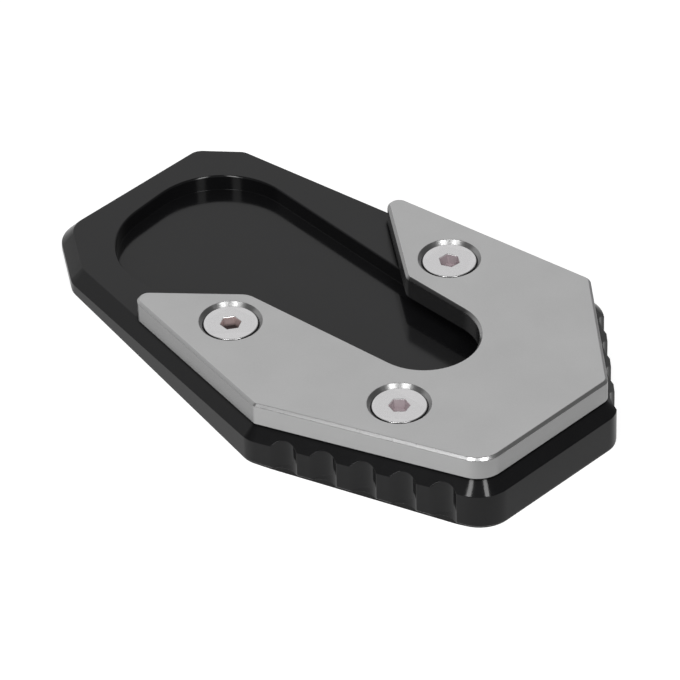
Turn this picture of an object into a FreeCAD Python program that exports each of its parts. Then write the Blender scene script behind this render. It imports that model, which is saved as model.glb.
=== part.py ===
"""Kickstand foot enlarger: a black machined base, a silver clamping plate and three countersunk screws.

The base and the clamping plate are drawn as they are machined, lying flat. x runs from the toe end to the heel
end, y from the front to the rear, and z = 0 is the face where the two plates meet. The base is a wedge, so the
whole assembly is tilted at the end, until the base's underside lies flat on the ground.
"""
import FreeCAD, Part

import enum
import math
import os

import Sketcher

# Driving dimensions in millimetres and degrees: alias, value, what it is
SIZES = [
    ("base_length", 135.5, "toe end wall to heel end wall"),
    ("toe_front_y", -20.1, "front corner of the toe end"),
    ("toe_rear_y", 21.7, "rear corner of the toe end"),
    ("rear_toe_x", 10.0, "rear edge, corner next to the toe end"),
    ("rear_toe_y", 30.2, ""),
    ("rear_heel_x", 107.1, "rear edge, corner next to the heel end"),
    ("rear_heel_y", 44.0, ""),
    ("heel_rear_y", 17.9, "rear corner of the heel end"),
    ("heel_front_y", -22.7, "front corner of the heel end"),
    ("front_heel_x", 83.6, "front edge, corner next to the heel end"),
    ("front_heel_y", -43.0, ""),
    ("front_toe_x", 15.3, "front edge, corner next to the toe end"),
    ("front_toe_y", -30.7, ""),
    ("toe_thickness", 4.8, "base thickness at the toe end wall"),
    ("heel_thickness", 11.5, "base thickness at the heel end wall"),
    ("corner_radius", 6.0, "upright corners of the base"),
    ("large_corner_radius", 8.5, "its three rounder corners: toe front, heel front and rear heel"),
    ("bevel_height", 3.0, "sloping bevel round the base's top face"),
    ("bevel_width", 2.8, ""),
    ("underside_break", 0.4, "edge break round the underside"),
    ("scallop_radius", 4.2, "finger scallops in the side walls"),
    ("scallop_depth", 1.3, ""),
    ("front_scallop_start", 10.3, "first scallop's middle from the heel end corner"),
    ("front_scallop_pitch", 9.25, ""),
    ("front_scallop_count", 5, ""),
    ("rear_scallop_start", 7.1, "first scallop's middle from the rear corner"),
    ("rear_scallop_pitch", 8.9, ""),
    ("rear_scallop_count", 4, ""),
    ("pocket_depth", 3.8, "pocket for the side stand's foot"),
    ("pocket_front_x", 29.0, "round front toe corner of the pocket"),
    ("pocket_front_y", -3.0, ""),
    ("pocket_front_radius", 19.5, ""),
    ("pocket_rear_x", 26.4, "round rear toe corner of the pocket"),
    ("pocket_rear_y", 5.0, ""),
    ("pocket_rear_radius", 17.6, ""),
    ("pocket_overhang", 4.5, "how far the pocket's round end runs under the clamping plate"),
    ("pocket_rim_chamfer", 0.3, ""),
    ("clamp_thickness", 5.5, "silver clamping plate"),
    ("clamp_setback", 2.3, "clamping plate's edge from the base's wall"),
    ("clamp_heel_setback", 2.0, "the same along the scalloped rear side, at its heel end"),
    ("clamp_rear_setback", 2.8, "and at its rear end"),
    ("clamp_chamfer", 0.6, ""),
    ("slot_x", 93.2, "middle of the slot's round end"),
    ("slot_y", 1.9, ""),
    ("slot_radius", 12.0, ""),
    ("front_arm_tip_x", 34.4, "outer tip of the front arm"),
    ("front_arm_mouth_x", 54.9, "corner of the front arm at the slot's mouth"),
    ("front_arm_mouth_y", -13.7, ""),
    ("rear_arm_tip_x", 49.8, "outer tip of the rear arm"),
    ("rear_arm_mouth_x", 75.9, "corner of the rear arm at the slot's mouth"),
    ("rear_arm_mouth_y", 14.0, ""),
    ("clamp_heel_front_radius", 6.5, "upright corners of the clamping plate"),
    ("clamp_heel_rear_radius", 2.5, ""),
    ("clamp_rear_radius", 2.5, ""),
    ("clamp_front_radius", 1.5, ""),
    ("arm_tip_radius", 2.6, ""),
    ("front_mouth_radius", 5.0, ""),
    ("rear_mouth_radius", 2.5, ""),
    ("front_toe_screw_x", 59.0, "screw on the front arm"),
    ("front_toe_screw_y", -23.5, ""),
    ("front_toe_screw_turn", 56.6, "direction of a corner of its socket"),
    ("rear_screw_x", 78.3, "screw on the rear arm"),
    ("rear_screw_y", 25.3, ""),
    ("rear_screw_turn", 24.1, ""),
    ("front_heel_screw_x", 105.9, "screw near the heel end"),
    ("front_heel_screw_y", -19.0, ""),
    ("front_heel_screw_turn", 45.6, ""),
    ("screw_diameter", 6.0, "countersunk hexagon socket screw"),
    ("screw_length", 12.0, "with its head"),
    ("head_diameter", 12.0, ""),
    ("head_land", 0.5, "short straight rim of the head above its cone"),
    ("head_chamfer", 0.15, ""),
    ("socket_across_flats", 4.0, ""),
    ("socket_depth", 2.6, ""),
    ("screw_end_chamfer", 0.8, ""),
    ("countersink_diameter", 14.1, "countersink at the clamping plate's top face"),
    ("countersink_angle", 90.0, "included angle of the countersink and of the screw's cone"),
    ("clamp_hole_clearance", 0.6, "clearance hole in the clamping plate over the screw's diameter"),
    ("thread_clearance", 0.1, "tapped hole in the base over the screw's diameter"),
]

# Corners of the base's outline, in order: aliases of x, of y and of the radius, with None for x = 0
BASE_CORNERS = [
    (None, "toe_front_y", "large_corner_radius"),
    ("front_toe_x", "front_toe_y", "corner_radius"),
    ("front_heel_x", "front_heel_y", "corner_radius"),
    ("base_length", "heel_front_y", "large_corner_radius"),
    ("base_length", "heel_rear_y", "corner_radius"),
    ("rear_heel_x", "rear_heel_y", "large_corner_radius"),
    ("rear_toe_x", "rear_toe_y", "corner_radius"),
    (None, "toe_rear_y", "corner_radius"),
]
# Sides of the base that the clamping plate follows, and how far inside them its edge starts and ends
CLAMP_SIDES = [
    (1, "clamp_setback", "clamp_setback"),
    (2, "clamp_setback", "clamp_setback"),
    (3, "clamp_setback", "clamp_setback"),
    (4, "clamp_heel_setback", "clamp_rear_setback"),
    (5, "clamp_setback", "clamp_setback"),
]
# Rows of scallops: the aliases of the corner that each starts from and of the corner that it runs to
SCALLOP_ROWS = {
    "front": (("base_length", "heel_front_y"), ("front_heel_x", "front_heel_y")),
    "rear": (("rear_heel_x", "rear_heel_y"), ("base_length", "heel_rear_y")),
}
SCREWS = ["front_toe_screw", "rear_screw", "front_heel_screw"]

NEAR = 1e-3


class Axis(enum.IntEnum):
    """A sketch's own axes, which a constraint names as it names a line."""
    X = -1
    Y = -2


class Point(enum.IntEnum):
    """Which point of a line or an arc a constraint holds."""
    START = 1
    END = 2
    CENTRE = 3


ORIGIN_POINT = (Axis.X, Point.START)


def make_sheet(doc):
    """The spreadsheet of driving dimensions."""
    sheet = doc.addObject("Spreadsheet::Sheet", "sizes")
    for row, (alias, size, note) in enumerate(SIZES, start=1):
        sheet.set(f"A{row}", alias.replace("_", " "))
        sheet.set(f"B{row}", str(size))
        sheet.setAlias(f"B{row}", alias)
        sheet.set(f"C{row}", note)
    doc.recompute()
    return sheet


def number(sheet, alias):
    """A cell's value, or 0 for a place on an axis."""
    return float(sheet.get(alias)) if alias else 0.0


def make_body(doc, name):
    body = doc.addObject("PartDesign::Body", name)
    body.Label = name
    return body


def origin_plane(body, role):
    for feature in body.Origin.OriginFeatures:
        if feature.Role == role:
            return feature
    raise ValueError(f"no origin plane {role}")


def make_sketch(body, name, role="XY_Plane"):
    sketch = body.newObject("Sketcher::SketchObject", name)
    sketch.AttachmentSupport = [(origin_plane(body, role), "")]
    sketch.MapMode = "FlatFace"
    return sketch


def bind(sketch, kind, geometry, size, expression):
    """Add a dimension whose value follows an expression of the sheet's cells."""
    index = sketch.addConstraint(Sketcher.Constraint(kind, *geometry, size))
    sketch.setExpression(f"Constraints[{index}]", expression)


def place_point(sketch, line, point, sheet, x_alias, y_alias):
    """Hold one point of a shape at the place that two cells give."""
    if x_alias:
        bind(sketch, "DistanceX", ORIGIN_POINT + (line, point), number(sheet, x_alias), f"sizes.{x_alias}")
    else:
        sketch.addConstraint(Sketcher.Constraint("PointOnObject", line, point, Axis.Y))
    if y_alias:
        bind(sketch, "DistanceY", ORIGIN_POINT + (line, point), number(sheet, y_alias), f"sizes.{y_alias}")
    else:
        sketch.addConstraint(Sketcher.Constraint("PointOnObject", line, point, Axis.X))


def line_between(first, second):
    return Part.LineSegment(FreeCAD.Vector(*first, 0), FreeCAD.Vector(*second, 0))


def arc_between(centre, radius, first, second):
    """Arc that runs anticlockwise from one point of its circle to another."""
    circle = Part.Circle(FreeCAD.Vector(*centre, 0), FreeCAD.Vector(0, 0, 1), radius)
    angles = [math.atan2(point[1] - centre[1], point[0] - centre[0]) for point in (first, second)]
    return Part.ArcOfCircle(circle, *angles)


def corner_points(sheet):
    return [(number(sheet, x_alias), number(sheet, y_alias)) for x_alias, y_alias, _ in BASE_CORNERS]


def draw_base_polygon(sketch, sheet, construction=False):
    """The base's outline with sharp corners; returns the index of its first line."""
    points = corner_points(sheet)
    first = None
    for start, end in zip(points, points[1:] + points[:1]):
        index = sketch.addGeometry(line_between(start, end), construction)
        first = index if first is None else first
    count = len(points)
    for side in range(count):
        following = first + (side + 1) % count
        sketch.addConstraint(Sketcher.Constraint("Coincident", first + side, Point.END, following, Point.START))
        place_point(sketch, first + side, Point.START, sheet, *BASE_CORNERS[side][:2])
    return first


def side_direction(sheet, side):
    points = corner_points(sheet)
    start, end = points[side], points[(side + 1) % len(points)]
    length = math.dist(start, end)
    return ((end[0] - start[0]) / length, (end[1] - start[1]) / length)


def inset_line(sheet, side, distance):
    """A point of the base's side moved inwards, and the side's direction."""
    start = corner_points(sheet)[side]
    along = side_direction(sheet, side)
    return (start[0] - along[1] * distance, start[1] + along[0] * distance), along


def crossing(line_a, line_b):
    """Where two lines meet, each given as a point and a direction."""
    (ax, ay), (ux, uy) = line_a
    (bx, by), (vx, vy) = line_b
    reach = ((bx - ax) * vy - (by - ay) * vx) / (ux * vy - uy * vx)
    return (ax + ux * reach, ay + uy * reach)


def tangent_points(centre_a, radius_a, centre_b, radius_b):
    """Where a belt that runs anticlockwise round two circles leaves the first and meets the second."""
    dx, dy = centre_b[0] - centre_a[0], centre_b[1] - centre_a[1]
    reach = math.hypot(dx, dy)
    turn = math.atan2(dy, dx) - math.acos((radius_a - radius_b) / reach)
    outward = (math.cos(turn), math.sin(turn))
    leaving = (centre_a[0] + radius_a * outward[0], centre_a[1] + radius_a * outward[1])
    meeting = (centre_b[0] + radius_b * outward[0], centre_b[1] + radius_b * outward[1])
    return leaving, meeting


def edges_where(feature, wanted):
    """Names of the edges of a feature's shape that pass a test."""
    return [f"Edge{index}" for index, edge in enumerate(feature.Shape.Edges, start=1) if wanted(edge)]


def is_upright_at(edge, place):
    ends = [vertex.Point for vertex in edge.Vertexes]
    if len(ends) != 2 or abs(ends[0].z - ends[1].z) < NEAR:
        return False
    return all(math.dist((end.x, end.y), place) < NEAR for end in ends)


def lies_at_height(edge, height):
    return all(abs(edge.valueAt(at).z - height) < NEAR for at in edge.ParameterRange)


def round_upright(body, name, feature, places, radius_alias):
    """Round the upright corners that stand at the given places."""
    names = edges_where(feature, lambda edge: any(is_upright_at(edge, place) for place in places))
    if len(names) != len(places):
        raise ValueError(f"{name}: {len(names)} corners found for {len(places)}")
    fillet = body.newObject("PartDesign::Fillet", name)
    fillet.Base = (feature, names)
    fillet.setExpression("Radius", f"sizes.{radius_alias}")
    body.Document.recompute()
    return fillet


def cut_away(body, name, sketch, **settings):
    """Pocket that has to take material off: its direction is turned over if it cuts nothing."""
    before = body.Shape.Volume
    pocket = body.newObject("PartDesign::Pocket", name)
    pocket.Profile = sketch
    for key, setting in settings.items():
        setattr(pocket, key, setting)
    body.Document.recompute()
    if pocket.Shape.isNull() or before - pocket.Shape.Volume < NEAR:
        pocket.Reversed = not pocket.Reversed
        body.Document.recompute()
    if before - pocket.Shape.Volume < NEAR:
        raise ValueError(f"{name} cuts nothing")
    return pocket


def screw_places(sheet):
    return [(number(sheet, f"{name}_x"), number(sheet, f"{name}_y")) for name in SCREWS]


def draw_screw_circles(body, name, sheet, diameter_expression, size):
    """Sketch of the three hole circles."""
    sketch = make_sketch(body, name)
    for screw, place in zip(SCREWS, screw_places(sheet)):
        circle = Part.Circle(FreeCAD.Vector(*place, 0), FreeCAD.Vector(0, 0, 1), size / 2)
        index = sketch.addGeometry(circle, False)
        place_point(sketch, index, Point.CENTRE, sheet, f"{screw}_x", f"{screw}_y")
        bind(sketch, "Diameter", (index,), size, diameter_expression)
    return sketch


def cut_wedge(body, sheet):
    """Slope the underside: thin at the toe end, thick at the heel end."""
    length = number(sheet, "base_length")
    toe = number(sheet, "toe_thickness")
    heel = number(sheet, "heel_thickness")
    sketch = make_sketch(body, "underside_line", "XZ_Plane")
    corners = [(0, -toe), (length, -heel), (0, -heel)]
    for start, end in zip(corners, corners[1:] + corners[:1]):
        sketch.addGeometry(line_between(start, end), False)
    for side in range(3):
        sketch.addConstraint(Sketcher.Constraint("Coincident", side, Point.END, (side + 1) % 3, Point.START))
    sketch.addConstraint(Sketcher.Constraint("PointOnObject", 0, Point.START, Axis.Y))
    sketch.addConstraint(Sketcher.Constraint("PointOnObject", 2, Point.START, Axis.Y))
    sketch.addConstraint(Sketcher.Constraint("Horizontal", 1))
    bind(sketch, "DistanceX", ORIGIN_POINT + (0, Point.END), length, "sizes.base_length")
    bind(sketch, "DistanceY", ORIGIN_POINT + (0, Point.START), -toe, "-sizes.toe_thickness")
    bind(sketch, "DistanceY", ORIGIN_POINT + (0, Point.END), -heel, "-sizes.heel_thickness")
    return cut_away(body, "wedge_cut", sketch, Type="ThroughAll", Midplane=True)


def bevel_top(body, feature):
    """Sloping bevel all round the base's top face."""
    chamfer = body.newObject("PartDesign::Chamfer", "bevel")
    chamfer.Base = (feature, edges_where(feature, lambda edge: lies_at_height(edge, 0)))
    chamfer.ChamferType = "Two distances"
    chamfer.setExpression("Size", "sizes.bevel_height")
    chamfer.setExpression("Size2", "sizes.bevel_width")
    body.Document.recompute()
    return chamfer


def break_underside(body, sheet, feature):
    """Small edge break where the walls meet the underside."""
    toe = number(sheet, "toe_thickness")
    slope = (number(sheet, "heel_thickness") - toe) / number(sheet, "base_length")

    def is_lowest(edge):
        ends = [edge.valueAt(at) for at in edge.ParameterRange]
        return all(abs(end.z + toe + slope * end.x) < NEAR for end in ends)

    chamfer = body.newObject("PartDesign::Chamfer", "underside_edge")
    chamfer.Base = (feature, edges_where(feature, is_lowest))
    chamfer.setExpression("Size", "sizes.underside_break")
    body.Document.recompute()
    return chamfer


def cut_scallops(body, sheet, group):
    """A row of scallops along one side, each a shallow slice of an upright cylinder."""
    (from_x, from_y), (to_x, to_y) = SCALLOP_ROWS[group]
    sketch = make_sketch(body, f"{group}_scallop_circle")
    turn = f"atan2(sizes.{to_y} - sizes.{from_y}; sizes.{to_x} - sizes.{from_x})"
    sketch.AttachmentOffset = FreeCAD.Placement(FreeCAD.Vector(), FreeCAD.Rotation(FreeCAD.Vector(0, 0, 1), 1))
    sketch.setExpression("AttachmentOffset.Rotation.Angle", turn)
    sketch.setExpression("AttachmentOffset.Base.x", f"sizes.{from_x}")
    sketch.setExpression("AttachmentOffset.Base.y", f"sizes.{from_y}")
    radius = number(sheet, "scallop_radius")
    start = number(sheet, f"{group}_scallop_start")
    reach = radius - number(sheet, "scallop_depth")
    circle = Part.Circle(FreeCAD.Vector(start, reach, 0), FreeCAD.Vector(0, 0, 1), radius)
    index = sketch.addGeometry(circle, False)
    bind(sketch, "Radius", (index,), radius, "sizes.scallop_radius")
    bind(sketch, "DistanceX", ORIGIN_POINT + (index, Point.CENTRE), start, f"sizes.{group}_scallop_start")
    reach_text = "sizes.scallop_radius - sizes.scallop_depth"
    bind(sketch, "DistanceY", ORIGIN_POINT + (index, Point.CENTRE), reach, reach_text)
    pocket = cut_away(body, f"{group}_scallop", sketch, Type="ThroughAll", Midplane=True)
    pattern = body.newObject("PartDesign::LinearPattern", f"{group}_scallops")
    pattern.Originals = [pocket]
    pattern.Direction = (sketch, ["H_Axis"])
    pattern.setExpression("Length", f"sizes.{group}_scallop_pitch * (sizes.{group}_scallop_count - 1)")
    pattern.setExpression("Occurrences", f"sizes.{group}_scallop_count")
    body.Tip = pattern
    body.Document.recompute()
    return pattern


def cut_foot_pocket(body, sheet):
    """Pocket in the shape of a stand's foot: a belt round two large corner arcs and a round end."""
    rounds = [
        ("pocket_front_x", "pocket_front_y", "pocket_front_radius"),
        ("slot_x", "slot_y", "slot_radius + sizes.pocket_overhang"),
        ("pocket_rear_x", "pocket_rear_y", "pocket_rear_radius"),
    ]
    radii = [
        number(sheet, "pocket_front_radius"),
        number(sheet, "slot_radius") + number(sheet, "pocket_overhang"),
        number(sheet, "pocket_rear_radius"),
    ]
    centres = [(number(sheet, x_alias), number(sheet, y_alias)) for x_alias, y_alias, _ in rounds]
    count = len(rounds)
    walls = []
    for side in range(count):
        following = (side + 1) % count
        walls.append(tangent_points(centres[side], radii[side], centres[following], radii[following]))
    sketch = make_sketch(body, "foot_outline")
    for side in range(count):
        sketch.addGeometry(arc_between(centres[side], radii[side], walls[side - 1][1], walls[side][0]), False)
    for side in range(count):
        sketch.addGeometry(line_between(*walls[side]), False)
    for side, (x_alias, y_alias, radius_expression) in enumerate(rounds):
        wall = count + side
        following = (side + 1) % count
        sketch.addConstraint(Sketcher.Constraint("Tangent", side, Point.END, wall, Point.START))
        sketch.addConstraint(Sketcher.Constraint("Tangent", wall, Point.END, following, Point.START))
        place_point(sketch, side, Point.CENTRE, sheet, x_alias, y_alias)
        bind(sketch, "Radius", (side,), radii[side], f"sizes.{radius_expression}")
    pocket = cut_away(body, "foot_pocket", sketch, Type="Length", Length=number(sheet, "pocket_depth"))
    pocket.setExpression("Length", "sizes.pocket_depth")
    body.Document.recompute()
    return pocket


def chamfer_pocket_rim(body, feature):
    """Fine chamfer where the pocket's walls meet the top face."""
    level = [face for face in feature.Shape.Faces if all(lies_at_height(edge, 0) for edge in face.Edges)]
    top = max(level, key=lambda face: face.Area)
    rim = [edge for wire in top.Wires if not wire.isSame(top.OuterWire) for edge in wire.Edges]
    chamfer = body.newObject("PartDesign::Chamfer", "pocket_rim")
    chamfer.Base = (feature, edges_where(feature, lambda edge: any(edge.isSame(other) for other in rim)))
    chamfer.setExpression("Size", "sizes.pocket_rim_chamfer")
    body.Document.recompute()
    return chamfer


def make_base(doc, sheet):
    body = make_body(doc, "base_plate")
    outline = make_sketch(body, "base_outline")
    draw_base_polygon(outline, sheet)
    pad = body.newObject("PartDesign::Pad", "base_block")
    pad.Profile = outline
    pad.Reversed = True
    pad.setExpression("Length", "sizes.heel_thickness")
    doc.recompute()
    tip = cut_wedge(body, sheet)
    for radius in ("large_corner_radius", "corner_radius"):
        places = [place for place, corner in zip(corner_points(sheet), BASE_CORNERS) if radius in corner]
        tip = round_upright(body, f"base_{radius}", tip, places, radius)
    tip = bevel_top(body, tip)
    tip = break_underside(body, sheet, tip)
    for group in SCALLOP_ROWS:
        cut_scallops(body, sheet, group)
    tip = cut_foot_pocket(body, sheet)
    chamfer_pocket_rim(body, tip)
    size = number(sheet, "screw_diameter") + number(sheet, "thread_clearance")
    expression = "sizes.screw_diameter + sizes.thread_clearance"
    circles = draw_screw_circles(body, "tapped_hole_circles", sheet, expression, size)
    cut_away(body, "tapped_holes", circles, Type="ThroughAll", Midplane=True)
    return body


def draw_clamp_outline(sketch, sheet):
    """C-shaped outline: five sides follow the base's walls, and the slot has a round end."""
    base = draw_base_polygon(sketch, sheet, construction=True)
    starts = [inset_line(sheet, side, number(sheet, start)) for side, start, _ in CLAMP_SIDES]
    ends = [inset_line(sheet, side, number(sheet, end)) for side, _, end in CLAMP_SIDES]
    upright = (0.0, 1.0)
    front_tip = crossing(starts[0], ((number(sheet, "front_arm_tip_x"), 0.0), upright))
    rear_tip = crossing(ends[-1], ((number(sheet, "rear_arm_tip_x"), 0.0), upright))
    corners = [crossing(end, start) for end, start in zip(ends, starts[1:])]
    outer = [front_tip] + corners + [rear_tip]
    front_mouth = (number(sheet, "front_arm_mouth_x"), number(sheet, "front_arm_mouth_y"))
    rear_mouth = (number(sheet, "rear_arm_mouth_x"), number(sheet, "rear_arm_mouth_y"))
    slot = (number(sheet, "slot_x"), number(sheet, "slot_y"))
    radius = number(sheet, "slot_radius")
    slot_start = tangent_points(front_mouth, 0.0, slot, radius)[1]
    slot_end = tangent_points(slot, radius, rear_mouth, 0.0)[0]
    chain = outer + [rear_mouth, slot_end]
    first = base + len(BASE_CORNERS)
    for start, end in zip(chain, chain[1:]):
        sketch.addGeometry(line_between(start, end), False)
    arc = sketch.addGeometry(arc_between(slot, radius, slot_start, slot_end), False)
    front_wall = sketch.addGeometry(line_between(slot_start, front_mouth), False)
    closing = sketch.addGeometry(line_between(front_mouth, front_tip), False)
    last_line = first + len(chain) - 2
    for line in range(first, last_line):
        sketch.addConstraint(Sketcher.Constraint("Coincident", line, Point.END, line + 1, Point.START))
    sketch.addConstraint(Sketcher.Constraint("Tangent", last_line, Point.END, arc, Point.END))
    sketch.addConstraint(Sketcher.Constraint("Tangent", arc, Point.START, front_wall, Point.START))
    sketch.addConstraint(Sketcher.Constraint("Coincident", front_wall, Point.END, closing, Point.START))
    sketch.addConstraint(Sketcher.Constraint("Coincident", closing, Point.END, first, Point.START))
    for line, (side, start, end) in enumerate(CLAMP_SIDES, start=first):
        bind(sketch, "Distance", (line, Point.START, base + side), number(sheet, start), f"sizes.{start}")
        bind(sketch, "Distance", (line, Point.END, base + side), number(sheet, end), f"sizes.{end}")
    bind(sketch, "DistanceX", ORIGIN_POINT + (first, Point.START), front_tip[0], "sizes.front_arm_tip_x")
    bind(sketch, "DistanceX", ORIGIN_POINT + (first + 4, Point.END), rear_tip[0], "sizes.rear_arm_tip_x")
    place_point(sketch, first + 5, Point.END, sheet, "rear_arm_mouth_x", "rear_arm_mouth_y")
    place_point(sketch, closing, Point.START, sheet, "front_arm_mouth_x", "front_arm_mouth_y")
    place_point(sketch, arc, Point.CENTRE, sheet, "slot_x", "slot_y")
    bind(sketch, "Radius", (arc,), radius, "sizes.slot_radius")
    return outer, front_mouth, rear_mouth


def make_clamp(doc, sheet):
    body = make_body(doc, "clamp_plate")
    outline = make_sketch(body, "clamp_outline")
    outer, front_mouth, rear_mouth = draw_clamp_outline(outline, sheet)
    pad = body.newObject("PartDesign::Pad", "clamp_block")
    pad.Profile = outline
    pad.setExpression("Length", "sizes.clamp_thickness")
    doc.recompute()
    front_tip, front, heel_front, heel_rear, rear, rear_tip = outer
    tip = round_upright(body, "heel_front_round", pad, [heel_front], "clamp_heel_front_radius")
    tip = round_upright(body, "heel_rear_round", tip, [heel_rear], "clamp_heel_rear_radius")
    tip = round_upright(body, "rear_round", tip, [rear], "clamp_rear_radius")
    tip = round_upright(body, "front_round", tip, [front], "clamp_front_radius")
    tip = round_upright(body, "arm_tip_rounds", tip, [front_tip, rear_tip], "arm_tip_radius")
    tip = round_upright(body, "front_mouth_round", tip, [front_mouth], "front_mouth_radius")
    tip = round_upright(body, "rear_mouth_round", tip, [rear_mouth], "rear_mouth_radius")
    thickness = number(sheet, "clamp_thickness")
    chamfer = body.newObject("PartDesign::Chamfer", "top_edge")
    chamfer.Base = (tip, edges_where(tip, lambda edge: lies_at_height(edge, thickness)))
    chamfer.setExpression("Size", "sizes.clamp_chamfer")
    doc.recompute()
    cut_countersinks(body, sheet)
    return body


def cut_countersinks(body, sheet):
    """Clearance holes with a countersink at the top face."""
    size = number(sheet, "screw_diameter") + number(sheet, "clamp_hole_clearance")
    expression = "sizes.screw_diameter + sizes.clamp_hole_clearance"
    circles = draw_screw_circles(body, "screw_hole_circles", sheet, expression, size)
    circles.setExpression("AttachmentOffset.Base.z", "sizes.clamp_thickness")
    body.Document.recompute()
    before = body.Shape.Volume
    hole = body.newObject("PartDesign::Hole", "screw_holes")
    hole.Profile = circles
    hole.ThreadType = "None"
    hole.DepthType = "ThroughAll"
    hole.HoleCutType = "Countersink"
    hole.HoleCutCustomValues = True
    hole.setExpression("Diameter", expression)
    hole.setExpression("HoleCutDiameter", "sizes.countersink_diameter")
    hole.setExpression("HoleCutCountersinkAngle", "sizes.countersink_angle")
    body.Document.recompute()
    if before - hole.Shape.Volume < NEAR:
        raise ValueError("the screw holes cut nothing")


def make_screw(doc, sheet, name):
    """Countersunk screw with a hexagon socket; its head's flat top lies on z = 0, its axis on z."""
    body = make_body(doc, name)
    head = number(sheet, "head_diameter") / 2
    shank = number(sheet, "screw_diameter") / 2
    land = number(sheet, "head_land")
    rim = number(sheet, "head_chamfer")
    length = number(sheet, "screw_length")
    lead = number(sheet, "screw_end_chamfer")
    cone = (head - shank) / math.tan(math.radians(number(sheet, "countersink_angle") / 2))
    cone_text = "(sizes.head_diameter - sizes.screw_diameter) / 2 / tan(sizes.countersink_angle * 1 deg / 2)"
    profile = [
        ((0, 0), None, None),
        ((head - rim, 0), "sizes.head_diameter / 2 - sizes.head_chamfer", None),
        ((head, -rim), "sizes.head_diameter / 2", "-sizes.head_chamfer"),
        ((head, -land), "sizes.head_diameter / 2", "-sizes.head_land"),
        ((shank, -land - cone), "sizes.screw_diameter / 2", f"-sizes.head_land - {cone_text}"),
        ((shank, lead - length), "sizes.screw_diameter / 2", "sizes.screw_end_chamfer - sizes.screw_length"),
        ((shank - lead, -length), "sizes.screw_diameter / 2 - sizes.screw_end_chamfer", "-sizes.screw_length"),
        ((0, -length), None, "-sizes.screw_length"),
    ]
    sketch = make_sketch(body, f"{name}_profile", "XZ_Plane")
    points = [point for point, _, _ in profile]
    count = len(points)
    for start, end in zip(points, points[1:] + points[:1]):
        sketch.addGeometry(line_between(start, end), False)
    for line, (point, x_text, y_text) in enumerate(profile):
        sketch.addConstraint(Sketcher.Constraint("Coincident", line, Point.END, (line + 1) % count, Point.START))
        if x_text:
            bind(sketch, "DistanceX", ORIGIN_POINT + (line, Point.START), point[0], x_text)
        else:
            sketch.addConstraint(Sketcher.Constraint("PointOnObject", line, Point.START, Axis.Y))
        if y_text:
            bind(sketch, "DistanceY", ORIGIN_POINT + (line, Point.START), point[1], y_text)
        else:
            sketch.addConstraint(Sketcher.Constraint("PointOnObject", line, Point.START, Axis.X))
    turned = body.newObject("PartDesign::Revolution", f"{name}_blank")
    turned.Profile = sketch
    turned.ReferenceAxis = (sketch, ["V_Axis"])
    turned.Angle = 360
    doc.recompute()
    cut_socket(body, name)
    return body


def cut_socket(body, name):
    """Hexagon socket with one corner on +x."""
    before = body.Shape.Volume
    socket = body.newObject("PartDesign::SubtractivePrism", f"{name}_socket")
    socket.AttachmentSupport = [(origin_plane(body, "XY_Plane"), "")]
    socket.MapMode = "FlatFace"
    socket.Polygon = 6
    socket.setExpression("Circumradius", "sizes.socket_across_flats / 2 / cos(30 deg)")
    socket.setExpression("Height", "sizes.socket_depth")
    socket.setExpression("AttachmentOffset.Base.z", "-sizes.socket_depth")
    body.Tip = socket
    body.Document.recompute()
    if before - socket.Shape.Volume < NEAR:
        raise ValueError(f"{name} has no socket")


def ground_placement(sheet, base):
    """Placement that lays the base's sloping underside on z = 0 with the base's middle over the origin."""
    drop = number(sheet, "heel_thickness") - number(sheet, "toe_thickness")
    wedge = math.degrees(math.atan2(drop, number(sheet, "base_length")))
    tilt = FreeCAD.Placement(FreeCAD.Vector(), FreeCAD.Rotation(FreeCAD.Vector(0, 1, 0), -wedge))
    tilted = base.Shape.copy()
    tilted.Placement = tilt.multiply(tilted.Placement)
    box = tilted.optimalBoundingBox()
    middle = FreeCAD.Vector(-(box.XMin + box.XMax) / 2, -(box.YMin + box.YMax) / 2, -box.ZMin)
    return FreeCAD.Placement(middle, tilt.Rotation)


def place_all(sheet, base, clamp, screws):
    """Seat every piece: the screws' cones lie on the countersinks, and all of it stands on the ground."""
    ground = ground_placement(sheet, base)
    base.Placement = ground
    clamp.Placement = ground
    ring = (number(sheet, "countersink_diameter") - number(sheet, "head_diameter")) / 2
    slope = math.tan(math.radians(number(sheet, "countersink_angle") / 2))
    recess = ring / slope - number(sheet, "head_land")
    height = number(sheet, "clamp_thickness") - recess
    for name, screw, place in zip(SCREWS, screws, screw_places(sheet)):
        turn = FreeCAD.Rotation(FreeCAD.Vector(0, 0, 1), number(sheet, f"{name}_turn"))
        screw.Placement = ground.multiply(FreeCAD.Placement(FreeCAD.Vector(*place, height), turn))


def check_and_write(doc, bodies):
    """Refuse a failed feature or a broken shape, then write one file for each piece."""
    doc.recompute()
    for item in doc.Objects:
        if "Invalid" in item.State or "Error" in item.State:
            raise ValueError(f"{item.Name} failed")
    for body in bodies:
        if body.Shape.isNull() or not body.Shape.isValid() or len(body.Shape.Solids) != 1:
            raise ValueError(f"{body.Label} is not one valid solid")
    os.makedirs("parts", exist_ok=True)
    for body in bodies:
        body.Shape.exportStep(f"parts/{body.Label}.step")
        box = body.Shape.BoundBox
        print(f"{body.Label}: {body.Shape.Volume:.1f} mm3, {box.XLength:.2f} x {box.YLength:.2f} x {box.ZLength:.2f} mm")


def main():
    doc = FreeCAD.newDocument("kickstand_foot_enlarger")
    sheet = make_sheet(doc)
    base = make_base(doc, sheet)
    clamp = make_clamp(doc, sheet)
    screws = [make_screw(doc, sheet, name) for name in SCREWS]
    place_all(sheet, base, clamp, screws)
    check_and_write(doc, [base, clamp] + screws)


main()
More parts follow.
